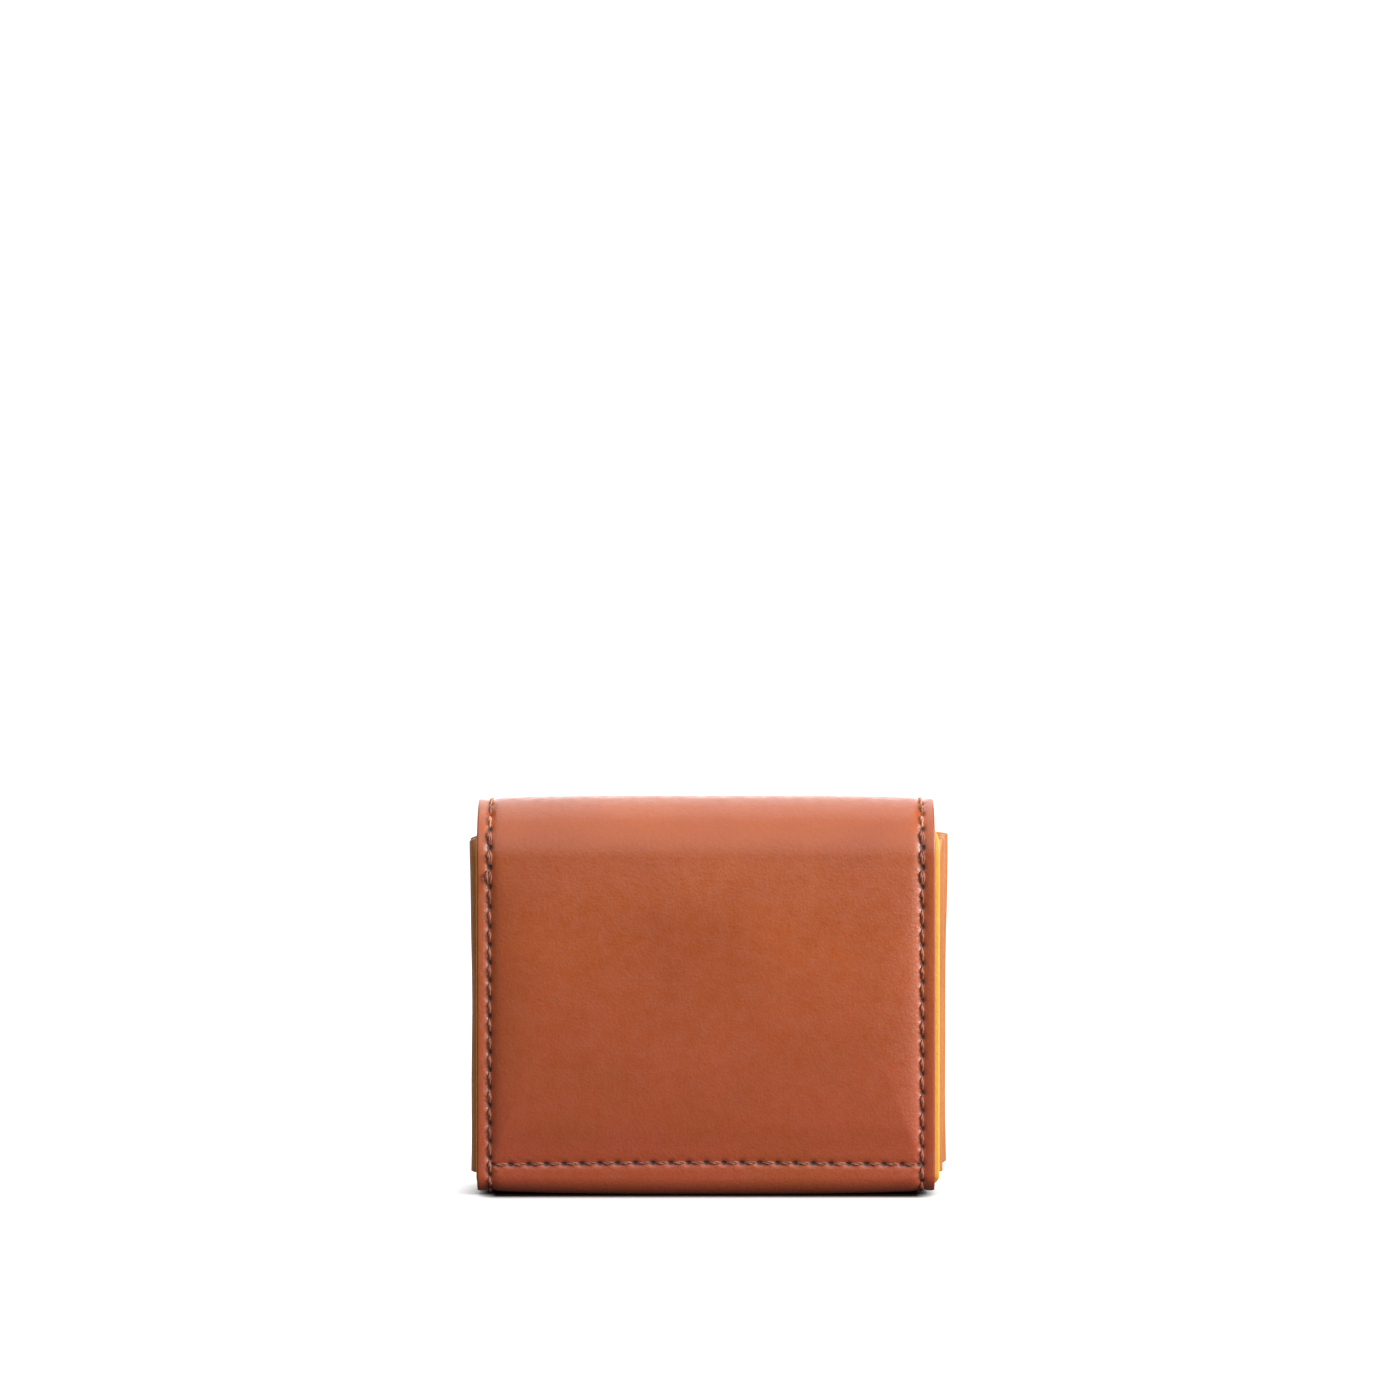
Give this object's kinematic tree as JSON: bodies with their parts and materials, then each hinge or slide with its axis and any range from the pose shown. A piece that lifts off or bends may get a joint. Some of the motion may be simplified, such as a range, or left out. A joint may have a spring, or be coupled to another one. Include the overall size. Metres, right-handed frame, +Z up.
{
  "type": "card holder",
  "caption": "Upright flap card holder in smooth tan leather with a golden lining, pleated side gussets, card pockets, a divider and a press stud.",
  "frame": {"origin": "on the ground under the middle of the closed holder", "axes": "+X along the width, to the right when the plain back panel is seen; +Y from the back panel to the flap side; +Z up"},
  "size_m": [0.1062, 0.025, 0.086],
  "materials": {
    "tan_leather": "smooth vegetable-tanned tan leather, satin",
    "gusset_leather": "thin tan leather, satin",
    "golden_lining": "golden yellow lining leather, matt",
    "backing_board": "bonded leather board, raw",
    "thread": "waxed dusty brown polyester thread",
    "brass": "polished brass"
  },
  "bodies": {
    "shell": {"cover_back": "tan_leather", "board_back": "backing_board", "lining_back": "golden_lining", "seam_back_left": "thread", "seam_back_right": "thread", "seam_pockets": "thread", "pocket_panel_tall": "golden_lining", "pocket_panel_short": "tan_leather", "gusset_rear_pleat_left": "gusset_leather", "gusset_rear_pleat_right": "gusset_leather"},
    "roll_rear": {"cover_roll_rear": "tan_leather", "lining_roll_rear": "golden_lining", "seam_roll_rear_left": "thread", "seam_roll_rear_right": "thread"},
    "roll_front": {"cover_roll_front": "tan_leather", "lining_roll_front": "golden_lining", "seam_roll_front_left": "thread", "seam_roll_front_right": "thread"},
    "flap": {"cover_flap": "tan_leather", "board_flap": "backing_board", "lining_flap": "golden_lining", "seam_flap": "thread", "snap_cap": "brass", "snap_socket": "brass"},
    "front": {"cover_front": "tan_leather", "board_front": "backing_board", "lining_front": "golden_lining", "seam_front": "thread", "snap_stud": "brass", "snap_post": "brass", "gusset_front_pleat_left": "gusset_leather", "gusset_front_pleat_right": "gusset_leather"},
    "divider": {"divider_rear": "tan_leather", "divider_front": "golden_lining", "seam_divider": "thread"}
  },
  "joints": [
    {"name": "flap_lift", "type": "hinge", "parent": "shell", "child": "roll_rear", "pos_m": [0, -0.01089, 0.08], "axis": [1, 0, 0], "range_deg": [0, 60]},
    {"name": "roll_unbend", "type": "hinge", "parent": "roll_rear", "child": "roll_front", "pos_m": [0, -0.0005, 0.086], "axis": [1, 0, 0], "range_deg": [0, 60]},
    {"name": "flap_unbend", "type": "hinge", "parent": "roll_front", "child": "flap", "pos_m": [0, 0.00989, 0.08], "axis": [1, 0, 0], "range_deg": [0, 60]},
    {"name": "mouth_spread", "type": "hinge", "parent": "shell", "child": "front", "pos_m": [0, 0.00592, 0.00088], "axis": [-1, 0, 0], "range_deg": [0, 12]},
    {"name": "divider_swing", "type": "hinge", "parent": "shell", "child": "divider", "pos_m": [0, 0.00592, 0.00088], "axis": [-1, 0, 0], "range_deg": [0, 6]}
  ],
  "couplings": [
    {"joint": "roll_unbend", "follows": "flap_lift", "ratio": 1},
    {"joint": "flap_unbend", "follows": "flap_lift", "ratio": 1},
    {"joint": "mouth_spread", "follows": "flap_lift", "ratio": 0.2},
    {"joint": "divider_swing", "follows": "flap_lift", "ratio": 0.1}
  ]
}
